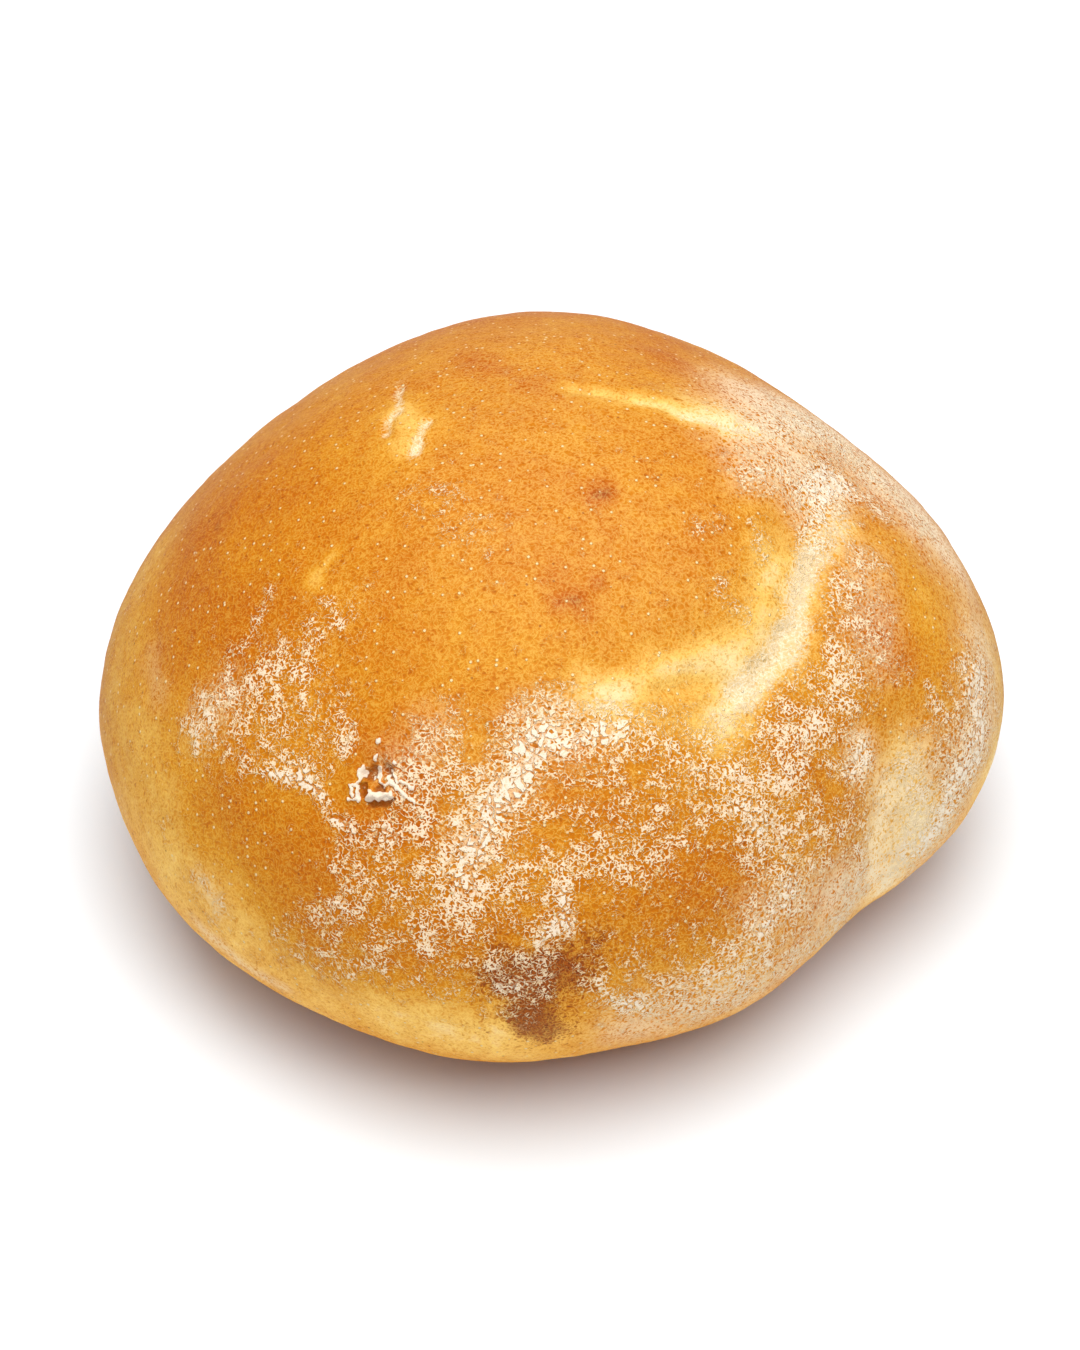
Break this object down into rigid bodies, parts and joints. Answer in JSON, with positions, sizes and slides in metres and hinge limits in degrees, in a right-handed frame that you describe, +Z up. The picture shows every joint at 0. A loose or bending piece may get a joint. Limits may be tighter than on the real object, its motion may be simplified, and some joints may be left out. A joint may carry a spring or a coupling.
{
  "type": "bread roll",
  "caption": "Hand-shaped round bread roll with a golden, torn and floured crust, resting on a small flat spot.",
  "frame": {"origin": "middle of the roll's footprint, on the surface it rests on", "axes": "+Z up through the crown, +X across the belly to the bulging right side, -Y to the front"},
  "size_m": [0.105, 0.104, 0.06],
  "materials": {
    "crust": "matt baked crust, golden brown with pale tears and patches of white flour"
  },
  "bodies": {
    "root": {"bread_roll": "crust"}
  },
  "joints": []
}
